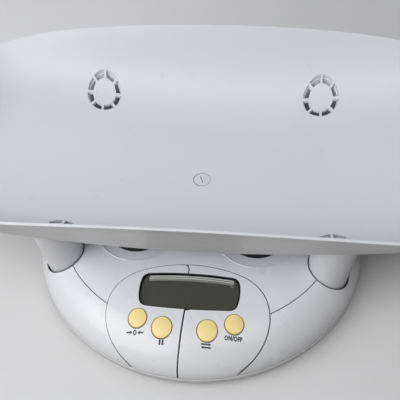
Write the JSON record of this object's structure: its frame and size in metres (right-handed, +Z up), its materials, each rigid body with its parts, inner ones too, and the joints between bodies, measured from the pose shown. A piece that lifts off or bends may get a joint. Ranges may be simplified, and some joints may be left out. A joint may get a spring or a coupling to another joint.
{
  "type": "digital baby weighing scale",
  "caption": "Baby scale with a boat-shaped tray on hollow legs over a domed base with a dark display and pale yellow round buttons.",
  "frame": {"origin": "middle of the overall box's footprint, on the floor under the rubber feet", "axes": "+X along the tray's length to the right of a person who reads the display, +Y from the display to the back, +Z up"},
  "size_m": [0.5514, 0.325, 0.1375],
  "materials": {
    "tray_white": "moulded ABS, satin gloss",
    "cover_white": "moulded ABS, gloss",
    "platform_white": "moulded ABS, gloss",
    "console_white": "moulded ABS, gloss",
    "housing_white": "moulded ABS, fine satin",
    "button_yellow": "pale yellow, satin",
    "bezel_black": "gloss black",
    "lens_clear": "clear acrylic",
    "lcd_grey": "unlit reflective LCD, olive grey",
    "lcd_metal": "bright tinned bar",
    "zebra_grey": "silicone",
    "grip_black": "moulded rubber",
    "switch_black": "matt",
    "plunger_grey": "matt",
    "board_green": "solder resist",
    "component_black": "epoxy",
    "battery_metal": "plain jacket",
    "snap_black": "matt",
    "cell_steel": "stamped plate",
    "foot_white": "matt",
    "foot_rubber": "soft grey",
    "lead_grey": "PVC sheath",
    "screw_steel": "zinc plated"
  },
  "bodies": {
    "base": {"base_cover": "cover_white", "platform_plate": "platform_white", "grip_pad_front_left": "grip_black", "grip_pad_front_right": "grip_black", "grip_pad_rear_left": "grip_black", "grip_pad_rear_right": "grip_black", "console_panel_left": "console_white", "console_panel_right": "console_white", "display_bezel": "bezel_black", "display_window": "lens_clear", "lcd_panel": "lcd_grey", "lcd_contact_strip": "lcd_metal", "zebra_strips": "zebra_grey", "key_switches": "switch_black", "circuit_board": "board_green", "board_components": "component_black", "lower_housing": "housing_white", "battery": "battery_metal", "battery_snap": "snap_black", "load_cell_front_left": "cell_steel", "load_cell_front_right": "cell_steel", "load_cell_rear_left": "cell_steel", "load_cell_rear_right": "cell_steel", "foot_front_left": "foot_white", "foot_front_right": "foot_white", "foot_rear_left": "foot_white", "foot_rear_right": "foot_white", "foot_pad_front_left": "foot_rubber", "foot_pad_front_right": "foot_rubber", "foot_pad_rear_left": "foot_rubber", "foot_pad_rear_right": "foot_rubber", "lead_front_left": "lead_grey", "lead_front_right": "lead_grey", "lead_rear_left": "lead_grey", "lead_rear_right": "lead_grey", "lead_battery": "lead_grey", "housing_screws": "screw_steel", "board_screws": "screw_steel"},
    "tray": {"tray_shell": "tray_white", "tray_leg_front_left": "tray_white", "tray_leg_front_right": "tray_white", "tray_leg_rear_left": "tray_white", "tray_leg_rear_right": "tray_white"},
    "battery_door": {"battery_door": "housing_white"},
    "button_zero": {"button_zero": "button_yellow", "plunger_zero": "plunger_grey"},
    "button_hold": {"button_hold": "button_yellow", "plunger_hold": "plunger_grey"},
    "button_units": {"button_units": "button_yellow", "plunger_units": "plunger_grey"},
    "button_power": {"button_power": "button_yellow", "plunger_power": "plunger_grey"}
  },
  "joints": [
    {"name": "tray_lift", "type": "slide", "parent": "base", "child": "tray", "axis": [0, 0, 1], "range_m": [0, 0.06]},
    {"name": "press_zero", "type": "slide", "parent": "base", "child": "button_zero", "axis": [0, 0, -1], "range_m": [0, 0.0009], "stiffness_N_per_m": 1200, "springref_m": -0.0003},
    {"name": "press_hold", "type": "slide", "parent": "base", "child": "button_hold", "axis": [0, 0, -1], "range_m": [0, 0.0009], "stiffness_N_per_m": 1200, "springref_m": -0.0003},
    {"name": "press_units", "type": "slide", "parent": "base", "child": "button_units", "axis": [0, 0, -1], "range_m": [0, 0.0009], "stiffness_N_per_m": 1200, "springref_m": -0.0003},
    {"name": "press_power", "type": "slide", "parent": "base", "child": "button_power", "axis": [0, 0, -1], "range_m": [0, 0.0009], "stiffness_N_per_m": 1200, "springref_m": -0.0003},
    {"name": "battery_door_hinge", "type": "hinge", "parent": "base", "child": "battery_door", "pos_m": [0, 0.04485, 0.0084], "axis": [-1, 0, 0], "range_deg": [0, 90]}
  ]
}
